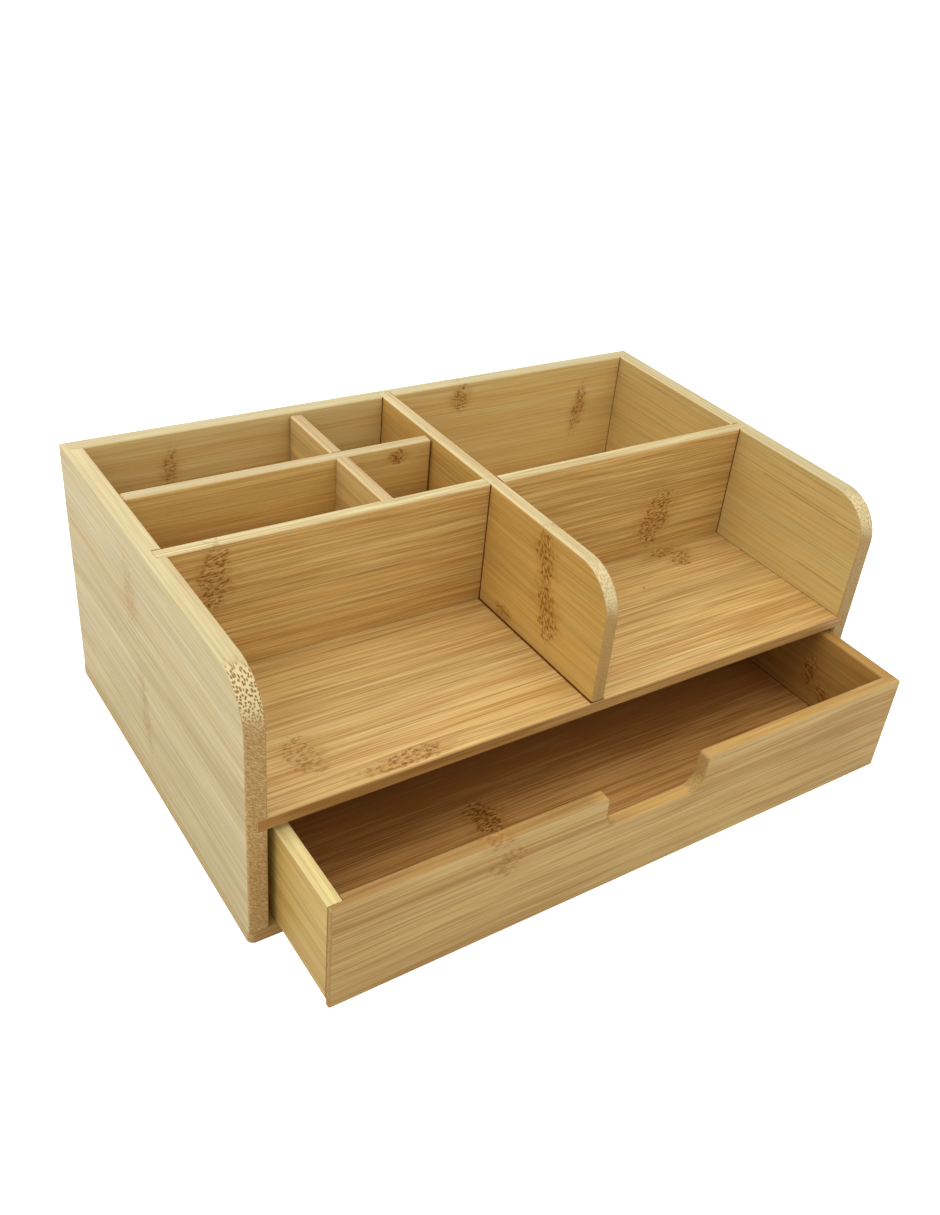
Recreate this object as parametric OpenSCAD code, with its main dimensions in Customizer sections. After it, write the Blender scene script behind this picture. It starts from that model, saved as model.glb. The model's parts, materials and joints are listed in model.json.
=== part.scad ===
// Bamboo desktop organizer: open compartments over a shelf, and one drawer under it.
// Millimetres. +X is to the right, +Y to the back, +Z up, and the front faces -Y.
// The origin is the centre of the case's underside. The drawer is drawn part way out.

/* [Case] */
// Overall width of the case
case_w = 330; // [260:1:420]
// Overall depth of the case, without the drawer front
case_d = 203.5; // [170:0.5:260]
// Overall height of the case
case_h = 130; // [115:1:180]
// Thickness of the two side panels
side_t = 8.8; // [7:0.1:12]
// Thickness of the base board under the sides
base_t = 6; // [5:0.5:10]
// Thickness of the back panel
back_t = 8; // [6:0.5:10]
// Radius of the round front top corners of the sides and the centre divider
corner_r = 22; // [5:1:40]
// Radius of the base board's front corners, seen from above
base_corner_r = 3; // [1:0.5:8]

/* [Compartments] */
// Height of the shelf's top face above the table
shelf_top = 66.5; // [50:0.5:85]
// Thickness of the shelf
shelf_t = 6.5; // [5:0.5:10]
// Thickness of the centre divider
centre_t = 6.6; // [5:0.1:12]
// How far the centre divider stands to the right of the middle
centre_shift = 1.4; // [-30:0.1:30]
// Thickness of the cross divider
cross_t = 6.5; // [5:0.5:10]
// Depth of the open front bays, from the case's front to the cross divider
front_bay_d = 92.6; // [60:0.1:110]

/* [Insert] */
// Thickness of the two insert dividers
insert_t = 6.2; // [5:0.1:10]
// How far the insert's top edges lie below the case's top
insert_drop = 1.4; // [0:0.1:15]
// Width of the insert's two left cells
insert_cell_w = 101.5; // [40:0.5:110]
// Depth of the insert's two front cells
insert_cell_d = 46; // [20:0.5:60]
// Play between the insert's ends and the boards around it
insert_play = 0.7; // [0.1:0.1:1.5]

/* [Joints] */
// Depth of the housings in the sides for the shelf and the cross divider
housing_depth = 4.4; // [2:0.1:5]
// Depth of the rebates in the sides for the back panel
back_rebate = 5.8; // [2:0.1:6]
// Depth of the housing in the back panel for the centre divider
back_housing = 5; // [2:0.5:5]
// Clearance across a housing, rebate or groove
fit_gap = 0.1; // [0.05:0.05:0.3]
// Clearance across the notches of the cross laps
lap_gap = 0.4; // [0.1:0.1:0.8]

/* [Drawer] */
// How far the drawer is drawn out, measured from closed
drawer_open = 39; // [0:1:120]
// Thickness of the drawer's front, sides and back
drawer_t = 6.5; // [5:0.5:10]
// Thickness of the drawer's bottom panel
panel_t = 4; // [3:0.5:5]
// Height of the bottom panel above the lower edges of the drawer's sides
panel_lift = 4; // [3:0.5:8]
// Gap between the drawer and each side of the case, when the drawer stands in the middle
drawer_side_gap = 1.8; // [0.5:0.1:5]
// Share of the side gap by which the drawer stands off the middle, to the right
drawer_shift_share = 0.8; // [-0.8:0.1:0.8]
// Gap between the drawer's top edges and the shelf
drawer_top_gap = 2.5; // [0.6:0.1:6]
// Gap under the drawer's sides, where they slide on the base board
slide_gap = 0.3; // [0.1:0.1:0.6]
// Gap behind the closed drawer, in front of the back panel
drawer_rear_gap = 4; // [1:0.5:20]
// Gap between the closed drawer's front board and the base board's front edge
stop_gap = 0.3; // [0.1:0.1:0.6]
// How far the front board reaches down over the base board's front edge
front_overlap = 2.5; // [1:0.5:4]
// Depth of the rebates and grooves in the drawer's boards
drawer_housing = 3.5; // [2:0.5:3.5]

/* [Finger notch] */
// Width of the notch's flat floor
notch_floor_w = 38; // [20:1:80]
// Depth of the notch below the drawer's top edge
notch_depth = 17.5; // [12:0.5:26]
// Radius of the notch's lower corners
notch_r = 8; // [4:0.5:9]
// Radius of the notch's upper lips
notch_lip_r = 1.5; // [0.5:0.5:3]
// How far the notch's sides lean outwards, in degrees
notch_lean = 2; // [0:1:25]
// How far the notch lies to the right of the drawer's middle
notch_shift = 0.7; // [-60:0.1:60]

/* [Hidden] */
$fn = 64;

// Colours of the bamboo: pale outer faces, warmer inner boards
pale = "BurlyWood";
warm = "Tan";
honey = "Peru";
dark = "Sienna";

// How far a cut runs past the face that it opens
overrun = case_h / 100;
// A lap notch takes half of the board's height
half_share = 1 / 2;

// Faces of the case
left_x = -case_w / 2;
inner_left_x = left_x + side_t;
inner_w = case_w - 2 * side_t;
front_y = -case_d / 2;
rear_y = case_d / 2;
back_y = rear_y - back_t;
bay_top = shelf_top - shelf_t;
compartment_h = case_h - shelf_top;

// Boards of the compartments
housed_x = inner_left_x - housing_depth;
housed_w = inner_w + 2 * housing_depth;
centre_x = centre_shift - centre_t / 2;
cross_y = front_y + front_bay_d;
cross_rear_y = cross_y + cross_t;

// Insert in the rear left bay
insert_h = compartment_h - insert_drop;
long_x = inner_left_x + insert_play;
long_len = centre_x - inner_left_x - 2 * insert_play;
long_y = cross_rear_y + insert_cell_d;
short_x = inner_left_x + insert_cell_w;
short_y = cross_rear_y + insert_play;
short_len = back_y - cross_rear_y - 2 * insert_play;

// Drawer, placed by how far it is open
drawer_w = inner_w - 2 * drawer_side_gap;
drawer_mid_x = drawer_side_gap * drawer_shift_share;
drawer_x = drawer_mid_x - drawer_w / 2;
drawer_z = base_t + slide_gap;
drawer_h = bay_top - drawer_top_gap - drawer_z;
drawer_d = back_y - drawer_rear_gap - front_y + stop_gap + drawer_t;
drawer_y = front_y - stop_gap - drawer_t - drawer_open;
front_z = base_t - front_overlap;
front_h = drawer_z + drawer_h - front_z;
side_y = drawer_y + drawer_t - drawer_housing;
side_len = drawer_d - drawer_t + drawer_housing;
drawer_back_y = drawer_y + drawer_d - drawer_t;
panel_z = drawer_z + panel_lift;
groove_h = panel_t + fit_gap;
rebate_w = drawer_t + fit_gap;
panel_play = fit_gap;
panel_x = drawer_x + drawer_t - drawer_housing + panel_play;
panel_w = drawer_w - 2 * (panel_x - drawer_x);
panel_y = side_y + panel_play;
panel_d = drawer_back_y + drawer_housing - side_y - 2 * panel_play;

// A plain board, from its lowest corner
module board(corner, size) {
    translate(corner) cube(size);
}

// Outline of a panel seen from its side: depth along X, height along Y, round at the front top
module panel_outline(depth, height, r) {
    translate([r, 0]) square([depth - r, height]);
    square([r, height - r]);
    translate([r, height - r]) circle(r);
}

// A panel of that outline that stands across the X axis, from its lowest front corner
module standing_panel(corner, thickness, depth, height, r) {
    translate(corner)
        rotate([90, 0, 90])
            linear_extrude(thickness)
                panel_outline(depth, height, r);
}

// Outline of the base board, seen from above, with its two front corners rounded
module base_outline() {
    translate([left_x, front_y + base_corner_r]) square([case_w, case_d - base_corner_r]);
    translate([left_x + base_corner_r, front_y]) square([case_w - 2 * base_corner_r, base_corner_r]);
    for (x = [left_x + base_corner_r, -left_x - base_corner_r])
        translate([x, front_y + base_corner_r]) circle(base_corner_r);
}

module base_board() {
    color(pale) linear_extrude(base_t) base_outline();
}

// Left side panel: shelf and cross divider housings, and a rebate along the rear edge
module side_panel() {
    difference() {
        standing_panel([left_x, front_y, base_t], side_t, case_d, case_h - base_t, corner_r);
        translate([housed_x, front_y - overrun, bay_top])
            cube([housing_depth + overrun, back_y - front_y + 2 * overrun, shelf_t + fit_gap]);
        translate([housed_x, cross_y - fit_gap / 2, shelf_top])
            cube([housing_depth + overrun, cross_t + fit_gap, compartment_h + overrun]);
        translate([inner_left_x - back_rebate, back_y - fit_gap, base_t - overrun])
            cube([back_rebate + overrun, back_t + fit_gap + overrun, case_h - base_t + 2 * overrun]);
    }
}

module left_side() {
    color(pale) side_panel();
}

module right_side() {
    color(pale) mirror([1, 0, 0]) side_panel();
}

// Back panel with the stopped housing that holds the centre divider's rear end
module back_panel() {
    color(warm)
        difference() {
            board([inner_left_x - back_rebate, back_y, base_t],
                [inner_w + 2 * back_rebate, back_t, case_h - base_t]);
            translate([centre_x - fit_gap / 2, back_y - overrun, shelf_top])
                cube([centre_t + fit_gap, back_housing + overrun, compartment_h + overrun]);
        }
}

module shelf() {
    color(warm) board([housed_x, front_y, bay_top], [housed_w, back_y - front_y, shelf_t]);
}

// Centre divider, notched from below over the cross divider
module centre_divider() {
    color(honey)
        difference() {
            standing_panel([centre_x, front_y, shelf_top], centre_t,
                back_y + back_housing - front_y, compartment_h, corner_r);
            translate([centre_x - overrun, cross_y - lap_gap / 2, shelf_top - overrun])
                cube([centre_t + 2 * overrun, cross_t + lap_gap, compartment_h * half_share + overrun]);
        }
}

// Cross divider, notched from above under the centre divider
module cross_divider() {
    color(honey)
        difference() {
            board([housed_x, cross_y, shelf_top], [housed_w, cross_t, compartment_h]);
            translate([centre_x - lap_gap / 2, cross_y - overrun, shelf_top + compartment_h * half_share])
                cube([centre_t + lap_gap, cross_t + 2 * overrun, compartment_h * half_share + overrun]);
        }
}

// Long insert divider, notched from below over the short one
module long_insert_divider() {
    color(warm)
        difference() {
            board([long_x, long_y, shelf_top], [long_len, insert_t, insert_h]);
            translate([short_x - lap_gap / 2, long_y - overrun, shelf_top - overrun])
                cube([insert_t + lap_gap, insert_t + 2 * overrun, insert_h * half_share + overrun]);
        }
}

// Short insert divider, notched from above under the long one
module short_insert_divider() {
    color(honey)
        difference() {
            board([short_x, short_y, shelf_top], [insert_t, short_len, insert_h]);
            translate([short_x - overrun, long_y - lap_gap / 2, shelf_top + insert_h * half_share])
                cube([insert_t + 2 * overrun, insert_t + lap_gap, insert_h * half_share + overrun]);
        }
}

// Outline of the finger notch, its floor on the X axis and its middle at X = 0.
// The sides lean out, the lower corners are round and the lips roll over the top edge.
module notch_outline() {
    lean_sin = sin(notch_lean);
    lean_cos = cos(notch_lean);
    floor_x = notch_floor_w / 2;
    foot_x = floor_x + notch_r * (1 - lean_sin) / lean_cos;
    side_foot = [floor_x + notch_r * lean_cos, notch_r * (1 - lean_sin)];
    lip = [foot_x + (notch_lip_r + (notch_depth - notch_lip_r) * lean_sin) / lean_cos,
        notch_depth - notch_lip_r];
    side_head = lip + notch_lip_r * [-lean_cos, lean_sin];
    module right_half() {
        difference() {
            union() {
                polygon([[0, 0], [floor_x, 0], [floor_x, notch_r], side_foot, side_head, lip,
                    [lip[0], notch_depth], [lip[0], notch_depth + overrun], [0, notch_depth + overrun]]);
                translate([floor_x, notch_r]) circle(notch_r);
            }
            translate(lip) circle(notch_lip_r);
        }
    }
    right_half();
    mirror([1, 0]) right_half();
}

// Groove that holds the drawer's bottom panel, as a cutter: from its lowest corner, along X and Y
module groove_cutter(corner, width, depth) {
    translate(corner) cube([width, depth, groove_h]);
}

module drawer_front() {
    color(pale)
        difference() {
            board([drawer_x, drawer_y, front_z], [drawer_w, drawer_t, front_h]);
            for (x = [drawer_x - overrun, drawer_x + drawer_w - rebate_w])
                translate([x, side_y, front_z - overrun])
                    cube([rebate_w + overrun, drawer_housing + overrun, front_h + 2 * overrun]);
            groove_cutter([drawer_x + drawer_t, side_y, panel_z],
                drawer_w - 2 * drawer_t, drawer_housing + overrun);
            translate([drawer_mid_x + notch_shift, drawer_y + drawer_t + overrun,
                front_z + front_h - notch_depth])
                rotate([90, 0, 0])
                    linear_extrude(drawer_t + 2 * overrun)
                        notch_outline();
        }
}

// Left side of the drawer: groove for the bottom panel, rebate for the drawer's back
module drawer_side() {
    difference() {
        board([drawer_x, side_y, drawer_z], [drawer_t, side_len, drawer_h]);
        groove_cutter([drawer_x + drawer_t - drawer_housing, side_y - overrun, panel_z],
            drawer_housing + overrun, drawer_back_y + drawer_housing - side_y + overrun);
        translate([drawer_x + drawer_t - drawer_housing, drawer_back_y - fit_gap, drawer_z - overrun])
            cube([drawer_housing + overrun, rebate_w + overrun, drawer_h + 2 * overrun]);
    }
}

module drawer_left_side() {
    color(pale) drawer_side();
}

module drawer_right_side() {
    color(pale) translate([2 * drawer_mid_x, 0, 0]) mirror([1, 0, 0]) drawer_side();
}

module drawer_back() {
    back_x = drawer_x + drawer_t - drawer_housing;
    back_w = 2 * (drawer_mid_x - back_x);
    color(warm)
        difference() {
            board([back_x, drawer_back_y, drawer_z], [back_w, drawer_t, drawer_h]);
            groove_cutter([back_x - overrun, drawer_back_y - overrun, panel_z],
                back_w + 2 * overrun, drawer_housing + overrun);
        }
}

module drawer_bottom() {
    color(dark) board([panel_x, panel_y, panel_z], [panel_w, panel_d, panel_t]);
}

base_board();
left_side();
right_side();
back_panel();
shelf();
centre_divider();
cross_divider();
long_insert_divider();
short_insert_divider();
drawer_front();
drawer_left_side();
drawer_right_side();
drawer_back();
drawer_bottom();
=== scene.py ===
import json
import math

import bpy
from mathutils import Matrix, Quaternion, Vector


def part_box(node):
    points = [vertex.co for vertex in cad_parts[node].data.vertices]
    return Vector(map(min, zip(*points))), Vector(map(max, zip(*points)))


# A bamboo desk organizer with one drawer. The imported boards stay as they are; this script
# eases their edges, gives each board its own bamboo, and sets up the floor, light and camera.

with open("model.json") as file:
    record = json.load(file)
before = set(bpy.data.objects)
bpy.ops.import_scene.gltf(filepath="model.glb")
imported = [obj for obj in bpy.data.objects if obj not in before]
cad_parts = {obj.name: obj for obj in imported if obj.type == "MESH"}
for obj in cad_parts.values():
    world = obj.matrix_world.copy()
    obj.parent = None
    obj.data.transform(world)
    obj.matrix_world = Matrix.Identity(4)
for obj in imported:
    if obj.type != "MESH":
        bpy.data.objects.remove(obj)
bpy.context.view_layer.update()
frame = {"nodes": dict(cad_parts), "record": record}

MM = 0.001

# Camera, fitted to the photograph's frame of 940 by 1215.
CAMERA_PLACE = (-0.29393, -0.41041, 0.38961)
CAMERA_AIM = (0.00346, -0.03000, 0.06175)
CAMERA_ROLL_DEG = 7.154
CAMERA_LENS_MM = 35.649
CAMERA_SENSOR_MM = 36.0
CAMERA_SHIFT = (-0.03345, 0.01493)
CAMERA_CLIP = 0.01

# Soft lamps on a dome: azimuth from the front towards the right, elevation, and watts.
WORLD_STRENGTH = 0.70
LAMP_REACH = 1.8
LAMP_SIZE = 1.2
LAMPS = {
    "back": (180, 40, 14.0),
    "left": (270, 40, 10.0),
    "top": (0, 90, 5.2),
    "back_right": (135, 40, 3.8),
    "front_right": (20, 40, 4.0),
}

# The floor: how far it lies under the boards, the dark and the light shade of its paint, the
# glow that the boards get from it, and what the camera sees on top of that.
FLOOR_SIZE = 16.0
FLOOR_GAP = 0.2 * MM
FLOOR_PAINT = (0.59, 0.61)
FLOOR_GLOW = 0.22
FLOOR_SEEN_GLOW = 0.8
FLOOR_ROUGHNESS = 0.9

# Eased edges: the radius on bare edges, the share of it at the joints, and how near another
# board an edge lies to count as a joint.
EASE_RADIUS = 0.9 * MM
EASE_STEPS = 3
JOINT_SHARE = 0.3
JOINT_REACH = 0.5 * MM
WELD_GAP = 0.01 * MM
FLAT_ANGLE = math.radians(0.6)
EDGE_ANGLE = math.radians(30)

# Bamboo colours, as linear red, green and blue.
HONEY = (0.575, 0.390, 0.140)
PALE = (0.510, 0.400, 0.197)
DRAWER = (0.487, 0.308, 0.102)
TOP_EDGE = (0.478, 0.388, 0.190)
END_DULL = (0.440, 0.272, 0.092)
END_CREAM = (0.720, 0.580, 0.310)
# Pale cream of the long edges: partly rubbed wear, partly a painted highlight; the pale strokes of
# the nodes use it too.
HIGHLIGHT_AND_WEAR_CREAM = (0.760, 0.600, 0.320)
PORE_BROWN = (0.220, 0.105, 0.010)
BARK_BROWN = (0.195, 0.064, 0.003)
HALO_BROWN = (0.390, 0.172, 0.022)
# The dark of the painted shade in the gaps where boards meet.
JOINT_SHADE_BROWN = (0.135, 0.030, 0.001)
COOL_TINT = (0.980, 1.008, 1.04)
WARM_TINT = (1.020, 0.990, 0.94)
SHADE_SHARES = (0.75, 1.05, 1.40)

# Noise scales, in repeats per metre along the grain, across it, and through the board.
SWAY_SCALE = (7, 30, 30)
FIBRE_SCALE = (26, 1550, 1550)
STREAK_SCALE = (6.5, 600, 600)
BAND_SCALE = (2.5, 120, 120)
CLOUD_SCALE = (9, 26, 26)
LINE_SCALE = (6, 900, 900)
THINNING_SCALE = (5, 70, 70)
WARMTH_SCALE = (1.8, 110, 110)
DRIFT_SCALE = (20, 150, 150)
RAGGED_SCALE = (330, 330, 330)
THREAD_SCALE = (40, 800, 800)
VESSEL_BEND_SCALE = (500, 500, 500)
VESSEL_SCALE = 900.0
HATCH_SCALE = (2000, 620, 60)
JOINT_SHADE_SCALE = (400, 400, 400)
SPECKLE_SCALE = (9, 9, 9)

# How much each kind of noise adds to the tone and to the relief.
FIBRE_SHARE, STREAK_SHARE = 1.45, 1.25
BAND_SHARE, CLOUD_SHARE, STRIP_SHARE = 0.80, 0.45, 0.22
FIBRE_RELIEF, STREAK_RELIEF = 0.7, 0.4
SWAY = 3.5 * MM

# The noise values between which a detail goes from nothing to all of its effect.
LINE_ONSET = (0.62, 0.74)
THINNING_ONSET = (0.40, 0.62)
WARMTH_ONSET = (0.30, 0.70)
HATCH_ONSET = (0.32, 0.68)
THREAD_ONSET = (0.30, 0.70)
DARK_STROKES = (0.47, 0.62)
LIGHT_STROKES = (0.42, 0.30)

# The shape of a bamboo node, in parts of its reach: how far it drifts, how ragged it is, and
# where the patch and the smear end. The smear is stretched, and its threads never quite end.
MARK_DRIFT = 1.8
MARK_RAGGED = 1.0
MARK_RIM = (1.25, 0.75)
STROKE_SLANT = 0.45
SMEAR_STRETCH = (0.45, 0.9)
SMEAR_RAGGED = 0.9
SMEAR_RIM = (1.10, 0.05)
SMEAR_LEAST = 0.4

# Vessels and hatching on the cut ends.
VESSEL_BEND = 0.9 * MM
VESSEL_RANDOMNESS = 0.75
VESSEL_WALL = (0.46, 0.20)
HATCH_SLANT = 0.8

# How strongly the details show, in the colour and in the relief.
LINE_STRENGTH = 0.40
MARK_STRENGTHS = {
    "Smear": (0.95, HALO_BROWN),
    "Dark": (0.90, BARK_BROWN),
    "Light": (0.25, HIGHLIGHT_AND_WEAR_CREAM),
}
MARK_RELIEF = 0.8
NARROW_SPREAD = 0.9
HATCH_SPREAD = 0.34
DULL_VESSELS = 0.25
VESSEL_RELIEF = 0.9

# The facings, as parts of the normal, between which one kind of face turns into the next.
ROUND_TO_END = (0.10, 0.45)
ROUND_TO_FLAT_END = (0.55, 0.08)
BROAD_TO_NARROW = (0.35, 0.75)
LOW_TO_HIGH = (-0.2, 0.2)
FLAT_TO_ARRIS = (0.10, 0.38)
JOINT_SHADE_SIDE = (-0.5, -0.8)
LOOKS_ALONG = 0.6

# Where along the grain a narrow face takes its second colour, and how softly a thin line ends:
# along it, and as a share of its width.
EDGE_CHANGE = (-36 * MM, -24 * MM)
LINE_FADE = 4 * MM
LINE_CORE = 0.4

# Painted shade lines in the joints, where boards meet: how near another board a face lies to show
# one, how much of them is solid, how far they wander, and what is left of them on narrow faces.
TOUCH_REACH = 1.2 * MM
TOUCH_CORE = 0.6
JOINT_SHADE_CORE = 0.35
JOINT_SHADE_WANDER = 0.5
JOINT_SHADE_ON_NARROW = 0.15

# The satin finish.
IOR = 1.47
SPECULAR = 0.20
COAT = 0.04
COAT_ROUGHNESS = 0.32
ROUGHNESS = 0.50
LIGHT_WOOD_ROUGHNESS = -0.10
END_ROUGHNESS = 0.18
BUMP_STRENGTH = 0.40
BUMP_DEPTH = 0.14 * MM


def rgba(colour):
    """A linear colour with full alpha."""
    return (*colour[:3], 1.0)


def shades(colour, spread):
    """The deep and the light shade around a colour; the deep one is the more saturated."""
    deep = [c * (1 - spread * k) for c, k in zip(colour, SHADE_SHARES)]
    light = [c * (1 + spread * k) for c, k in zip(colour, SHADE_SHARES)]
    return rgba(deep), rgba(light)


class Tree:
    """Short ways to add and link the nodes of one node tree."""

    def __init__(self, tree):
        self.tree = tree

    def node(self, kind, inputs=(), **settings):
        """Adds a node; inputs are pairs of a socket's name or number and its value or link."""
        made = self.tree.nodes.new(kind)
        for name, value in settings.items():
            setattr(made, name, value)
        for key, value in inputs:
            self.put(made.inputs[key], value)
        return made

    def put(self, socket, value):
        """Links a socket if value is one, and sets its number or colour if not."""
        if isinstance(value, bpy.types.NodeSocket):
            self.tree.links.new(value, socket)
        else:
            socket.default_value = value

    def math(self, operation, a, b=0.0, c=0.0, clamp=False):
        """A number from one math node."""
        made = self.node("ShaderNodeMath", [(0, a), (1, b), (2, c)], operation=operation)
        made.use_clamp = clamp
        return made.outputs[0]

    def vector(self, operation, a, b=(0.0, 0.0, 0.0)):
        """A vector from one vector math node."""
        made = self.node("ShaderNodeVectorMath", [(0, a), (1, b)], operation=operation)
        return made.outputs[0]

    def length(self, a):
        """The length of a vector."""
        made = self.node("ShaderNodeVectorMath", [(0, a)], operation="LENGTH")
        return made.outputs["Value"]

    def split(self, vector):
        """The three parts of a vector."""
        made = self.node("ShaderNodeSeparateXYZ", [(0, vector)])
        return made.outputs[0], made.outputs[1], made.outputs[2]

    def join(self, x, y, z):
        """A vector from three numbers."""
        return self.node("ShaderNodeCombineXYZ", [(0, x), (1, y), (2, z)]).outputs[0]

    def outside(self, away, half):
        """How far a place is outside a box, from its distance to the middle and the half sizes."""
        x, y, z = self.split(self.vector("SUBTRACT", away, half))
        return self.math("MAXIMUM", self.math("MAXIMUM", x, y), z)

    def step(self, value, low, high):
        """0 below low and 1 above high, smooth between; low may be above high."""
        made = self.node(
            "ShaderNodeMapRange",
            [("Value", value), ("From Min", low), ("From Max", high)],
            interpolation_type="SMOOTHSTEP",
        )
        return made.outputs["Result"]

    def mix(self, factor, a, b, blend="MIX"):
        """Two colours mixed by factor."""
        made = self.node("ShaderNodeMix", data_type="RGBA", blend_type=blend)
        for key, value in (("Factor_Float", factor), ("A_Color", a), ("B_Color", b)):
            self.put(next(s for s in made.inputs if s.identifier == key), value)
        return next(s for s in made.outputs if s.identifier == "Result_Color")

    def noise(self, place, scale, detail=2.0, roughness=0.5):
        """Noise at place, stretched by the vector scale."""
        where = self.vector("MULTIPLY", place, scale)
        made = self.node(
            "ShaderNodeTexNoise",
            [("Vector", where), ("Scale", 1.0), ("Detail", detail), ("Roughness", roughness)],
        )
        return made.outputs[0]

    def centred(self, place, scale, detail=2.0, roughness=0.5):
        """The same noise around 0."""
        return self.math("SUBTRACT", self.noise(place, scale, detail, roughness), 0.5)

    def distance(self, value, middle):
        """How far value is from middle."""
        return self.math("ABSOLUTE", self.math("SUBTRACT", value, middle))


def group(name, inputs, outputs):
    """An empty shader group with its sockets, as (group, in sockets, out sockets, tree)."""
    made = bpy.data.node_groups.new(name, "ShaderNodeTree")
    for way, sockets in (("INPUT", inputs), ("OUTPUT", outputs)):
        for socket, kind in sockets:
            made.interface.new_socket(socket, in_out=way, socket_type="NodeSocket" + kind)
    tree = Tree(made)
    source = tree.node("NodeGroupInput")
    target = tree.node("NodeGroupOutput")
    return made, source.outputs, target.inputs, tree


def make_grain():
    """Pressed bamboo in a board's own axes: fibres, streaks, bands and glued strips."""
    made, given, result, t = group(
        "Bamboo grain",
        [("Place", "Vector"), ("Strip Width", "Float"), ("Streaks", "Float"), ("Bands", "Float")],
        [("Tone", "Float"), ("Lines", "Float"), ("Warmth", "Float"), ("Height", "Float")],
    )
    sway = t.math("MULTIPLY", t.centred(given["Place"], SWAY_SCALE), SWAY)
    place = t.vector("ADD", given["Place"], t.join(0.0, sway, 0.0))
    fibre = t.centred(place, FIBRE_SCALE, 1.0)
    streak = t.centred(place, STREAK_SCALE, 2.0, 0.6)
    band = t.centred(place, BAND_SCALE)
    cloud = t.centred(place, CLOUD_SCALE)
    across = t.split(place)[1]
    which = t.math("FLOOR", t.math("DIVIDE", across, given["Strip Width"]))
    random = t.node("ShaderNodeTexWhiteNoise", [("W", which)], noise_dimensions="1D")
    strip = t.math("SUBTRACT", random.outputs["Value"], 0.5)
    fine = t.math("MULTIPLY_ADD", fibre, FIBRE_SHARE, t.math("MULTIPLY", streak, STREAK_SHARE))
    broad = t.math("MULTIPLY_ADD", band, BAND_SHARE, t.math("MULTIPLY", cloud, CLOUD_SHARE))
    broad = t.math("MULTIPLY_ADD", strip, STRIP_SHARE, broad)
    tone = t.math("MULTIPLY", fine, given["Streaks"])
    tone = t.math("MULTIPLY_ADD", broad, given["Bands"], tone)
    line = t.step(t.noise(place, LINE_SCALE, 1.0), *LINE_ONSET)
    thinning = t.step(t.noise(place, THINNING_SCALE), *THINNING_ONSET)
    line = t.math("MULTIPLY", t.math("MULTIPLY", line, thinning), given["Streaks"])
    height = t.math("MULTIPLY_ADD", fibre, FIBRE_RELIEF, t.math("MULTIPLY", streak, STREAK_RELIEF))
    t.put(result["Tone"], t.math("ADD", tone, 0.5, clamp=True))
    t.put(result["Lines"], line)
    t.put(result["Warmth"], t.noise(place, WARMTH_SCALE))
    t.put(result["Height"], height)
    return made


def make_mark():
    """One bamboo node: a ragged patch of short dark and pale strokes, and a brown smear that
    runs off with the grain."""
    made, given, result, t = group(
        "Bamboo mark",
        [("Place", "Vector"), ("Centre", "Vector"), ("Reach", "Vector"), ("Strokes", "Vector"),
         ("Lean", "Float")],
        [("Dark", "Float"), ("Light", "Float"), ("Smear", "Float")],
    )
    place = given["Place"]
    u, v, w = t.split(t.vector("SUBTRACT", place, given["Centre"]))
    leant = t.math("SUBTRACT", u, t.math("MULTIPLY", v, given["Lean"]))
    x, y, _ = t.split(t.vector("DIVIDE", t.join(leant, v, 0.0), given["Reach"]))
    x = t.math("MULTIPLY_ADD", t.centred(place, DRIFT_SCALE), MARK_DRIFT, x)
    ragged = t.centred(place, RAGGED_SCALE)
    reach = t.math("MULTIPLY_ADD", ragged, MARK_RAGGED, t.length(t.join(x, y, 0.0)))
    inside = t.step(reach, *MARK_RIM)
    slanted = t.join(t.math("SUBTRACT", u, t.math("MULTIPLY", v, STROKE_SLANT)), v, w)
    strokes = t.noise(slanted, given["Strokes"], 1.0)
    stretched = [t.math("MULTIPLY", *pair) for pair in zip((x, y), SMEAR_STRETCH)]
    smear = t.math("MULTIPLY_ADD", ragged, SMEAR_RAGGED, t.length(t.join(*stretched, 0.0)))
    threads = t.step(t.noise(place, THREAD_SCALE), *THREAD_ONSET)
    threads = t.math("MULTIPLY_ADD", threads, 1.0 - SMEAR_LEAST, SMEAR_LEAST)
    t.put(result["Dark"], t.math("MULTIPLY", t.step(strokes, *DARK_STROKES), inside))
    t.put(result["Light"], t.math("MULTIPLY", t.step(strokes, *LIGHT_STROKES), inside))
    t.put(result["Smear"], t.math("MULTIPLY", t.step(smear, *SMEAR_RIM), threads))
    return made


def make_pores():
    """Cut bamboo ends: vessels that run with the grain, and fine hatching."""
    made, given, result, t = group(
        "Bamboo pores", [("Place", "Vector")], [("Vessels", "Float"), ("Hatching", "Float")]
    )
    u, v, w = t.split(given["Place"])
    bent = t.math("MULTIPLY", t.noise(given["Place"], VESSEL_BEND_SCALE, 1.0), VESSEL_BEND)
    section = t.join(t.math("ADD", v, bent), t.math("SUBTRACT", w, bent), 0.0)
    dots = t.node(
        "ShaderNodeTexVoronoi",
        [("Vector", section), ("Scale", VESSEL_SCALE), ("Randomness", VESSEL_RANDOMNESS)],
        voronoi_dimensions="2D",
    )
    slanted = t.join(t.math("ADD", v, t.math("MULTIPLY", w, HATCH_SLANT)), w, u)
    t.put(result["Vessels"], t.step(dots.outputs["Distance"], *VESSEL_WALL))
    t.put(result["Hatching"], t.noise(slanted, HATCH_SCALE, 2.0, 0.6))
    return made


GROUPS = {"grain": make_grain(), "mark": make_mark(), "pores": make_pores()}
AXES = {"X": 0, "Y": 1, "Z": 2}

# The strokes of a bamboo node, in repeats per metre: curled ones, and rungs across the grain.
CURLS = (480, 1000, 1000)
RUNGS = (1050, 480, 1050)


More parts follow.
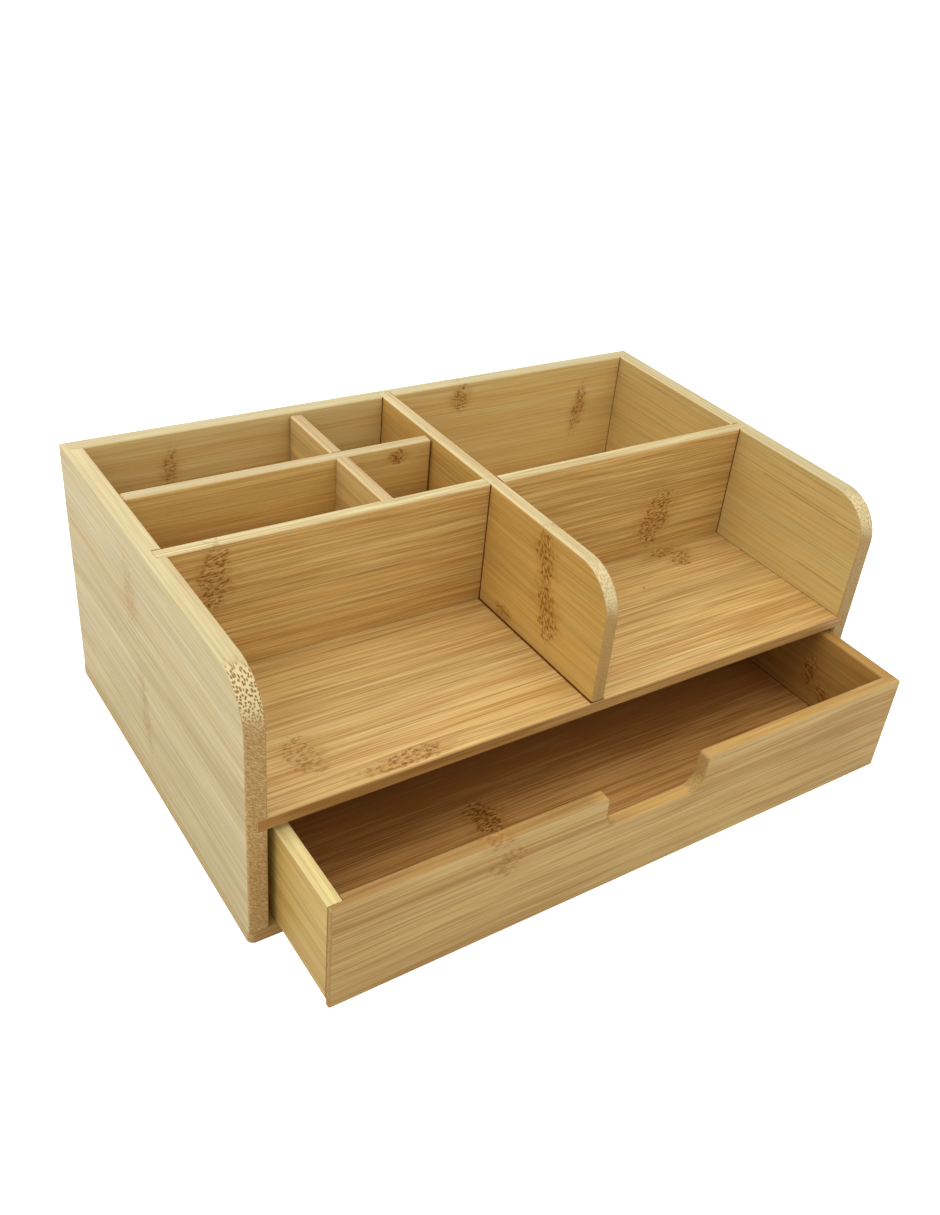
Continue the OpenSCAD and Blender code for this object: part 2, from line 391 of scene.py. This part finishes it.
def board_axes(t, grain, through):
    """Place and facing of a board in its own axes: along the grain, across, through."""
    across = next(a for a in AXES if a not in (grain, through))
    order = [AXES[a] for a in (grain, across, through)]
    coordinates = t.node("ShaderNodeTexCoord")
    here = t.split(coordinates.outputs["Object"])
    facing = t.split(coordinates.outputs["Normal"])
    return t.join(*[here[i] for i in order]), [facing[i] for i in order], coordinates.outputs


def use_group(t, name, inputs):
    """The sockets of a new node of one of this script's groups."""
    made = t.node("ShaderNodeGroup")
    made.node_tree = GROUPS[name]
    for key, value in inputs:
        t.put(made.inputs[key], value)
    return made.outputs


def box_of(node_name):
    """The middle and the half sizes of a board's box."""
    low, high = (Vector(c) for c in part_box(node_name))
    return (low + high) / 2, (high - low) / 2


def face_tone(t, grains, u, across, drift, bands):
    """From 0, deep, to 1, light, on a board's long faces."""
    tone = t.math("MULTIPLY_ADD", u, drift, grains["Tone"], clamp=True)
    for middle, reach, amount in bands:
        band = t.step(t.distance(across, middle), reach, 0.0)
        tone = t.math("MULTIPLY_ADD", band, amount, tone, clamp=True)
    return tone


def face_colour(t, grains, tone, u, facing, side, low, high, edge, edge_on, spread):
    """The colour of the broad and the narrow faces, without marks, lines or ends."""
    broad = [t.mix(tone, *shades(colour, spread)) for colour in (low, high)]
    narrow = t.mix(tone, *shades(edge, NARROW_SPREAD * spread))
    if edge_on:
        further = t.step(u, *EDGE_CHANGE)
        narrow = t.mix(further, narrow, t.mix(tone, *shades(edge_on, NARROW_SPREAD * spread)))
    colour = t.mix(side, t.mix(t.step(facing[2], *LOW_TO_HIGH), *broad), narrow)
    warmth = t.step(grains["Warmth"], *WARMTH_ONSET)
    colour = t.mix(1.0, colour, t.mix(warmth, rgba(COOL_TINT), rgba(WARM_TINT)), "MULTIPLY")
    return t.mix(t.math("MULTIPLY", grains["Lines"], LINE_STRENGTH), colour, rgba(HALO_BROWN))


def add_marks(t, place, colour, relief, marks):
    """Puts the bamboo nodes on the faces, and takes their strokes out of the relief."""
    for centre, reach, lean, depth, strokes in marks:
        mark = use_group(
            t, "mark",
            [("Place", place), ("Centre", (*centre, 0.0)), ("Reach", (*reach, 1.0)),
             ("Strokes", strokes), ("Lean", lean)],
        )
        for part, (share, shade) in MARK_STRENGTHS.items():
            colour = t.mix(t.math("MULTIPLY", mark[part], share * depth), colour, rgba(shade))
        cut_in = t.math("MULTIPLY", mark["Dark"], MARK_RELIEF * depth)
        relief = t.math("SUBTRACT", relief, cut_in)
    return colour, relief


def add_lines(t, u, across, colour, lines):
    """Draws thin dark threads along the grain."""
    for middle, start, stop, width, amount in lines:
        begun = t.step(u, start, start + LINE_FADE)
        going = t.step(u, stop, stop - LINE_FADE)
        thread = t.step(t.distance(across, middle), width, LINE_CORE * width)
        thread = t.math("MULTIPLY", thread, t.math("MULTIPLY", begun, going))
        colour = t.mix(t.math("MULTIPLY", thread, amount), colour, rgba(BARK_BROWN))
    return colour


def end_colour(t, ends, flat_end, cut, cream, pores):
    """The colour of the ends: hatched where they are square, open vessels where round."""
    vessels = ends["Vessels"]
    oblique = t.mix(t.math("MULTIPLY", vessels, pores), rgba(cream), rgba(PORE_BROWN))
    dull = t.mix(t.step(ends["Hatching"], *HATCH_ONSET), *shades(cut, HATCH_SPREAD * pores))
    dull = t.mix(t.math("MULTIPLY", vessels, DULL_VESSELS * pores), dull, rgba(PORE_BROWN))
    return t.mix(flat_end, oblique, dull)


def joint_shade_line(t, here, faced, other, reach, strength):
    """A thin line of painted shade, for the dark gap where a face meets another board. faced lists
    the axes that the face looks along, as large numbers: the line follows the outline of the board
    behind them."""
    middle, half = box_of(other)
    away = t.vector("ABSOLUTE", t.vector("SUBTRACT", here, middle))
    outline = t.math("ABSOLUTE", t.outside(t.vector("SUBTRACT", away, faced), half))
    wander = t.math("MULTIPLY", t.noise(here, JOINT_SHADE_SCALE), JOINT_SHADE_WANDER * reach)
    line = t.step(t.math("SUBTRACT", outline, wander), reach, JOINT_SHADE_CORE * reach)
    touching = t.step(t.outside(away, half), TOUCH_REACH, TOUCH_CORE * TOUCH_REACH)
    return t.math("MULTIPLY", t.math("MULTIPLY", line, touching), strength)


def add_joint_shade(t, coordinates, colour, joints, shown):
    """Draws the painted shade lines in the joints, as strongly as shown says."""
    looking = t.split(t.vector("ABSOLUTE", coordinates["Normal"]))
    faced = t.join(*[t.math("GREATER_THAN", part, LOOKS_ALONG) for part in looking])
    for other, reach, strength in joints:
        line = joint_shade_line(t, coordinates["Object"], faced, other, reach * MM, strength)
        colour = t.mix(t.math("MULTIPLY", line, shown), colour, rgba(JOINT_SHADE_BROWN))
    return colour


def finish_material(t, colour, roughness, relief):
    """The satin surface over a board's colour and relief."""
    bump = t.node(
        "ShaderNodeBump",
        [("Strength", BUMP_STRENGTH), ("Distance", BUMP_DEPTH), ("Height", relief)],
    )
    shader = t.node(
        "ShaderNodeBsdfPrincipled",
        [("Base Color", colour), ("Roughness", roughness), ("Normal", bump.outputs[0]),
         ("IOR", IOR), ("Specular IOR Level", SPECULAR), ("Coat Weight", COAT),
         ("Coat Roughness", COAT_ROUGHNESS)],
    )
    t.node("ShaderNodeOutputMaterial", [("Surface", shader.outputs[0])])


def bamboo(
    name, grain, through, low=HONEY, high=HONEY, edge=TOP_EDGE, edge_on=None, cut=END_DULL,
    cream=END_CREAM, streaks=1.0, broad=1.0, spread=0.30, strip=19 * MM, pores=0.5, worn_and_highlight=0.45,
    drift=0.0, bands=(), marks=(), lines=(), joints=(), one_sided=False, seed=0.0,
):
    """Material of one board; the comment over BOARDS says what each value is."""
    material = bpy.data.materials.new("bamboo_" + name)
    material.use_nodes = True
    material.node_tree.nodes.clear()
    t = Tree(material.node_tree)
    place, facing, coordinates = board_axes(t, grain, through)
    own = t.vector("ADD", place, (seed * 0.731, seed * 0.317, seed * 0.171))
    grains = use_group(
        t, "grain",
        [("Place", own), ("Strip Width", strip), ("Streaks", streaks), ("Bands", broad)],
    )
    ends = use_group(t, "pores", [("Place", own)])
    u, across, _ = t.split(place)
    end = t.step(t.math("ABSOLUTE", facing[0]), *ROUND_TO_END)
    flat_end = t.step(t.math("ABSOLUTE", facing[1]), *ROUND_TO_FLAT_END)
    side = t.step(t.math("ABSOLUTE", facing[1]), *BROAD_TO_NARROW)
    # Paler long edges: partly rubbed wear, partly a painted highlight where the eased edges catch
    # the lamps.
    arris_wear_and_highlight = t.math("ABSOLUTE", t.math("MULTIPLY", facing[1], facing[2]))
    arris_wear_and_highlight = t.math("MULTIPLY", t.step(arris_wear_and_highlight, *FLAT_TO_ARRIS), worn_and_highlight)

    tone = face_tone(t, grains, u, across, drift, bands)
    colour = face_colour(t, grains, tone, u, facing, side, low, high, edge, edge_on, spread)
    colour, relief = add_marks(t, place, colour, grains["Height"], marks)
    colour = add_lines(t, u, across, colour, lines)
    colour = t.mix(arris_wear_and_highlight, colour, rgba(HIGHLIGHT_AND_WEAR_CREAM))
    colour = t.mix(end, colour, end_colour(t, ends, flat_end, cut, cream, pores))
    # Painted shade in the gaps where this board meets others.
    if one_sided:
        shown = t.step(facing[2], *JOINT_SHADE_SIDE)
    else:
        shown = t.math("MULTIPLY_ADD", side, JOINT_SHADE_ON_NARROW - 1.0, 1.0)
    colour = add_joint_shade(t, coordinates, colour, joints, shown)

    hollow = t.math("MULTIPLY", ends["Vessels"], t.math("SUBTRACT", end, flat_end))
    relief = t.math("SUBTRACT", relief, t.math("MULTIPLY", hollow, VESSEL_RELIEF * pores))
    roughness = t.math("MULTIPLY_ADD", tone, LIGHT_WOOD_ROUGHNESS, ROUGHNESS)
    roughness = t.math("MULTIPLY_ADD", end, END_ROUGHNESS, roughness)
    finish_material(t, colour, roughness, relief)
    return material


# Each board's values. Colours are linear.
# grain, through: the axes of the grain and of the board's thickness.
# low, high: the faces on the low and the high side of that thickness.
# edge, edge_on: the narrow faces, and the same further along the grain.
# cut, cream: the ends, where they are square and where they are round.
# streaks, broad: how strong the fine and the broad grain is. spread: how far shades differ.
# strip: width of the glued strips in metres. pores: how open the ends look.
# worn_and_highlight: how pale the long edges are, partly rubbed wear and partly a painted
# highlight. drift: how much lighter per metre along the grain.
# bands: lighter or darker bands, as middle and reach across the grain in metres, and amount; on
# some boards they are painted shade and painted light.
# marks: bamboo nodes, as centre and reach along and across the grain in metres, lean, how
# dark, and the shape of the strokes.
# lines: thin dark threads, as place across the grain, start and stop along it and width in
# metres, and how dark.
# joints: painted shade lines at the joints, as the other board, the line's reach in millimetres,
# and how dark.
# one_sided: the painted joint shade on the low side alone. seed: moves the noise.
BOARDS = {
    "left_side": dict(
        grain="Y", through="X", low=PALE, cut=(0.485, 0.312, 0.120),
        streaks=0.85, broad=0.55, spread=0.28, pores=0.9, seed=1.0,
        bands=[(0.120, 0.030, 0.12)],
        marks=[((0.016, 0.100), (0.006, 0.016), 0.1, 0.34, CURLS),
               ((0.007, 0.042), (0.004, 0.024), 0.1, 0.36, RUNGS)],
        joints=[("base_board", 0.35, 0.5), ("back_panel", 0.35, 0.5),
                ("cross_divider", 0.4, 0.5)],
    ),
    "right_side": dict(
        grain="Y", through="X", low=(0.560, 0.400, 0.145), high=PALE, cut=(0.440, 0.290, 0.115),
        streaks=0.75, broad=0.30, spread=0.26, pores=0.4, seed=2.0,
        # The bands are painted light low on the board and painted shade near its top.
        bands=[(0.072, 0.035, 0.18), (0.128, 0.030, -0.10)],
        marks=[((0.052, 0.040), (0.004, 0.016), 0.1, 0.5, RUNGS)],
        lines=[(0.1150, -0.085, -0.030, 0.0006, 0.28), (0.1132, -0.100, -0.050, 0.0006, 0.36),
               (0.0808, -0.101, -0.066, 0.0006, 0.40), (0.1265, -0.084, -0.045, 0.0005, 0.24)],
        joints=[("cross_divider", 0.45, 0.7), ("back_panel", 0.45, 0.5), ("shelf", 0.3, 0.35),
                ("base_board", 0.35, 0.5)],
    ),
    "back_panel": dict(
        grain="X", through="Y", low=(0.685, 0.505, 0.203), high=PALE,
        streaks=0.6, broad=0.8, spread=0.28, seed=3.0,
        marks=[((-0.1167, 0.1117), (0.0035, 0.010), 0.1, 0.6, CURLS),
               ((0.0468, 0.1215), (0.0045, 0.008), 0.0, 0.7, CURLS),
               ((0.1290, 0.1020), (0.0035, 0.016), 0.15, 0.7, RUNGS)],
        joints=[("centre_divider", 0.45, 0.8), ("right_side", 0.4, 0.5), ("left_side", 0.3, 0.4)],
        one_sided=True,
    ),
    "base_board": dict(
        grain="X", through="Z", low=(0.530, 0.390, 0.168), edge=(0.420, 0.250, 0.078),
        cut=(0.490, 0.365, 0.165), cream=(0.440, 0.290, 0.105),
        streaks=0.7, pores=0.3, worn_and_highlight=0.1, seed=4.0,
        marks=[((-0.092, 0.031), (0.005, 0.012), 0.0, 0.6, CURLS),
               ((0.061, -0.048), (0.005, 0.014), 0.1, 0.6, CURLS)],
    ),
    "shelf": dict(
        grain="X", through="Z", high=(0.597, 0.382, 0.136), edge=(0.395, 0.208, 0.060),
        edge_on=(0.435, 0.248, 0.081),
        streaks=1.35, broad=0.75, spread=0.34, worn_and_highlight=0.15, drift=-0.10, seed=5.0,
        # The band towards the back is painted shade there; the two nearer the front make the front
        # edge darker and the middle a little lighter.
        bands=[(-0.088, 0.030, -0.10), (-0.030, 0.030, 0.05), (0.045, 0.050, -0.14)],
        marks=[((-0.1290, -0.0755), (0.0065, 0.012), 0.0, 0.60, CURLS),
               ((-0.0920, -0.0960), (0.016, 0.0045), 0.3, 0.90, CURLS),
               ((0.1125, -0.0135), (0.0085, 0.0045), 0.5, 0.8, CURLS),
               ((0.1195, -0.0225), (0.0060, 0.0065), 0.5, 0.8, CURLS),
               ((0.0809, -0.0370), (0.0006, 0.0006), 0.0, 1.0, CURLS)],
        joints=[("centre_divider", 0.75, 0.95), ("right_side", 0.3, 0.4), ("left_side", 0.3, 0.4),
                ("cross_divider", 0.3, 0.25)],
    ),
    "centre_divider": dict(
        grain="Y", through="X", low=(0.550, 0.340, 0.093), high=(0.590, 0.395, 0.121),
        edge=(0.540, 0.430, 0.208),
        streaks=0.75, broad=0.5, pores=0.35, seed=6.0,
        # The bands are painted light low on the board and painted shade near its top.
        bands=[(0.068, 0.035, 0.16), (0.128, 0.035, -0.12)],
        marks=[((-0.0557, 0.1150), (0.0056, 0.015), 0.2, 1.0, RUNGS),
               ((-0.0608, 0.0905), (0.0066, 0.014), 0.2, 0.95, RUNGS),
               ((-0.0314, 0.0710), (0.006, 0.004), 0.0, 0.6, CURLS)],
        joints=[("shelf", 0.75, 0.97), ("cross_divider", 0.45, 0.8), ("back_panel", 0.45, 0.8)],
    ),
    "cross_divider": dict(
        grain="X", through="Y", low=(0.600, 0.383, 0.128), edge=(0.515, 0.405, 0.185),
        streaks=1.35, broad=0.8, spread=0.33, seed=7.0,
        bands=[(0.074, 0.018, -0.20)],
        marks=[((-0.1375, 0.1140), (0.0066, 0.015), 0.05, 0.88, CURLS),
               ((0.1062, 0.0875), (0.0085, 0.0150), 0.1, 0.90, CURLS)],
        joints=[("centre_divider", 0.5, 0.85), ("right_side", 0.5, 0.75), ("left_side", 0.3, 0.4)],
    ),
    "long_insert_divider": dict(
        grain="X", through="Y", low=(0.655, 0.424, 0.137), edge=(0.480, 0.362, 0.167),
        streaks=0.75, broad=0.8, seed=8.0,
        # The band is painted shade low on the board, at the bottom of the cells.
        bands=[(0.092, 0.022, -0.50)],
        marks=[((-0.0213, 0.1230), (0.004, 0.004), 0.0, 0.9, CURLS)],
    ),
    "short_insert_divider": dict(
        grain="Y", through="X", edge=(0.475, 0.327, 0.137), streaks=0.8, seed=9.0,
    ),
    "drawer_front": dict(
        grain="X", through="Y", low=DRAWER, edge=(0.330, 0.187, 0.049),
        edge_on=(0.460, 0.270, 0.075), cut=(0.400, 0.235, 0.076), cream=(0.420, 0.270, 0.090),
        streaks=1.1, broad=1.7, spread=0.32, pores=0.35, worn_and_highlight=0.15, drift=0.40, seed=10.0,
        marks=[((-0.0735, 0.0450), (0.008, 0.0075), 0.45, 0.50, CURLS),
               ((-0.0790, 0.0570), (0.0055, 0.003), 0.0, 0.50, CURLS)],
        joints=[("drawer_left_side", 0.3, 0.5), ("drawer_right_side", 0.3, 0.5)],
    ),
    "drawer_left_side": dict(
        grain="Y", through="X", low=(0.540, 0.365, 0.105), edge=(0.690, 0.550, 0.225),
        streaks=0.8, seed=11.0,
        bands=[(0.015, 0.020, -0.12), (0.050, 0.015, 0.10)],
    ),
    "drawer_right_side": dict(
        grain="Y", through="X", low=(0.415, 0.220, 0.054), high=DRAWER,
        edge=(0.420, 0.225, 0.050),
        streaks=0.8, worn_and_highlight=0.0, seed=12.0,
        marks=[((-0.1000, 0.0330), (0.004, 0.010), 0.1, 0.9, CURLS),
               ((-0.1110, 0.0250), (0.005, 0.006), 0.1, 0.8, CURLS)],
        joints=[("drawer_bottom", 0.4, 0.6)],
    ),
    "drawer_back": dict(grain="X", through="Y", streaks=0.8, seed=13.0),
    "drawer_bottom": dict(
        grain="X", through="Z", high=(0.515, 0.252, 0.072),
        streaks=1.9, spread=0.36, seed=14.0,
        # The bands are painted shade further in, where the case and shelf shadow the drawer, and
        # painted light near the front.
        bands=[(0.020, 0.110, -0.42), (-0.066, 0.034, -0.62), (-0.118, 0.015, 0.22)],
        marks=[((-0.0495, -0.0965), (0.0065, 0.012), 0.1, 1.0, CURLS)],
        joints=[("drawer_front", 0.3, 0.5), ("drawer_right_side", 0.4, 0.6)],
    ),
}


def weigh_edges(node, neighbours):
    """Edge weights for the bevel: none on flat edges, small at the joints, full elsewhere."""
    made = bpy.data.node_groups.new("weigh_" + node.name, "GeometryNodeTree")
    made.interface.new_socket("Geometry", in_out="INPUT", socket_type="NodeSocketGeometry")
    made.interface.new_socket("Geometry", in_out="OUTPUT", socket_type="NodeSocketGeometry")
    t = Tree(made)
    source = t.node("NodeGroupInput")
    target = t.node("NodeGroupOutput")
    ends = t.node("GeometryNodeInputMeshEdgeVertices").outputs
    joint = 0.0
    for other in neighbours:
        middle, half = box_of(other)
        away = [
            t.vector("ABSOLUTE", t.vector("SUBTRACT", ends[key], middle))
            for key in ("Position 1", "Position 2")
        ]
        out = t.outside(t.vector("MAXIMUM", *away), half)
        joint = t.math("MAXIMUM", joint, t.math("LESS_THAN", out, JOINT_REACH))
    bend = t.node("GeometryNodeInputMeshEdgeAngle").outputs["Unsigned Angle"]
    sharp = t.math("GREATER_THAN", bend, EDGE_ANGLE)
    weight = t.math("MULTIPLY_ADD", joint, JOINT_SHARE - 1.0, 1.0)
    store = t.node(
        "GeometryNodeStoreNamedAttribute",
        [("Geometry", source.outputs[0]), ("Name", "bevel_weight_edge"),
         ("Value", t.math("MULTIPLY", weight, sharp))],
        data_type="FLOAT", domain="EDGE",
    )
    t.put(target.inputs[0], store.outputs[0])
    weigh = node.modifiers.new("weigh", "NODES")
    weigh.node_group = made


def ease_edges(node, neighbours):
    """Rounds a board's sharp edges a little, as sanding does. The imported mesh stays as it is."""
    weld = node.modifiers.new("weld", "WELD")
    weld.merge_threshold = WELD_GAP
    flat = node.modifiers.new("flat", "DECIMATE")
    flat.decimate_type = "DISSOLVE"
    flat.angle_limit = FLAT_ANGLE
    weigh_edges(node, neighbours)
    ease = node.modifiers.new("ease", "BEVEL")
    ease.width = EASE_RADIUS
    ease.segments = EASE_STEPS
    ease.limit_method = "WEIGHT"
    ease.use_clamp_overlap = True
    ease.harden_normals = True


def dress(name, node, bodies):
    """Gives one board its eased edges and its bamboo."""
    body = next(nodes for nodes in bodies.values() if name in nodes)
    ease_edges(node, [other for other in body if other != name])
    node.data.materials.clear()
    node.data.materials.append(bamboo(name, **BOARDS[name]))


def paint_floor():
    """White paint that looks pure white, and throws back onto the object only what a white
    table in this light would. It is clear from below, to let the underside be looked at."""
    material = bpy.data.materials.new("white_floor")
    material.use_nodes = True
    nodes = material.node_tree.nodes
    t = Tree(material.node_tree)
    shader = nodes["Principled BSDF"]
    speckle = t.noise(t.node("ShaderNodeTexCoord").outputs["Object"], SPECKLE_SCALE, 3.0)
    dark, light = FLOOR_PAINT
    t.put(shader.inputs["Base Color"], t.mix(speckle, rgba([dark] * 3), rgba([light] * 3)))
    seen = t.node("ShaderNodeLightPath").outputs["Is Camera Ray"]
    glow = t.math("MULTIPLY_ADD", seen, FLOOR_SEEN_GLOW, FLOOR_GLOW)
    t.put(shader.inputs["Emission Strength"], glow)
    shader.inputs["Roughness"].default_value = FLOOR_ROUGHNESS
    shader.inputs["Emission Color"].default_value = (1.0, 1.0, 1.0, 1.0)
    below = t.node("ShaderNodeNewGeometry").outputs["Backfacing"]
    clear = t.node("ShaderNodeBsdfTransparent").outputs[0]
    two_sided = t.node("ShaderNodeMixShader", [(0, below), (1, shader.outputs[0]), (2, clear)])
    t.put(nodes["Material Output"].inputs["Surface"], two_sided.outputs[0])
    return material


def add_floor():
    """A plain white floor that runs out past the camera's view."""
    mesh = bpy.data.meshes.new("floor")
    half = FLOOR_SIZE / 2
    outline = [(-half, -half), (half, -half), (half, half), (-half, half)]
    mesh.from_pydata([Vector((x, y, -FLOOR_GAP)) for x, y in outline], [], [(0, 1, 2, 3)])
    mesh.materials.append(paint_floor())
    floor = bpy.data.objects.new("floor", mesh)
    bpy.context.scene.collection.objects.link(floor)


def add_lamp(name, azimuth, elevation, power):
    """A soft square lamp on the dome, turned to the middle."""
    data = bpy.data.lights.new(name, "AREA")
    data.shape = "SQUARE"
    data.size = LAMP_SIZE
    data.energy = power
    turn, rise = math.radians(azimuth), math.radians(elevation)
    flat = LAMP_REACH * math.cos(rise)
    lamp = bpy.data.objects.new(name, data)
    lamp.location = (math.sin(turn) * flat, -math.cos(turn) * flat, LAMP_REACH * math.sin(rise))
    lamp.rotation_mode = "QUATERNION"
    lamp.rotation_quaternion = lamp.location.to_track_quat("Z", "Y")
    bpy.context.scene.collection.objects.link(lamp)


def light_studio():
    """White surroundings, as white as the floor where they are seen, and the dome's lamps."""
    world = bpy.data.worlds.new("studio")
    world.use_nodes = True
    t = Tree(world.node_tree)
    background = world.node_tree.nodes["Background"]
    background.inputs["Color"].default_value = (1.0, 1.0, 1.0, 1.0)
    seen = t.node("ShaderNodeLightPath").outputs["Is Camera Ray"]
    strength = t.math("MULTIPLY_ADD", seen, 1.0 - WORLD_STRENGTH, WORLD_STRENGTH)
    t.put(background.inputs["Strength"], strength)
    bpy.context.scene.world = world
    for name, (azimuth, elevation, power) in LAMPS.items():
        add_lamp(name, azimuth, elevation, power)


def add_camera():
    """The photograph's view."""
    data = bpy.data.cameras.new("view")
    data.lens = CAMERA_LENS_MM
    data.sensor_width = CAMERA_SENSOR_MM
    data.shift_x, data.shift_y = CAMERA_SHIFT
    data.clip_start = CAMERA_CLIP
    camera = bpy.data.objects.new("view", data)
    camera.location = CAMERA_PLACE
    camera.rotation_mode = "QUATERNION"
    level = (Vector(CAMERA_AIM) - Vector(CAMERA_PLACE)).to_track_quat("-Z", "Y")
    camera.rotation_quaternion = level @ Quaternion((0, 0, 1), math.radians(CAMERA_ROLL_DEG))
    bpy.context.scene.collection.objects.link(camera)
    bpy.context.scene.camera = camera


body_nodes = frame["record"]["behaviour"]["bodies"]
for node_name, node_object in frame["nodes"].items():
    dress(node_name, node_object, body_nodes)
add_floor()
light_studio()
add_camera()
bpy.context.scene.view_settings.view_transform = "Standard"
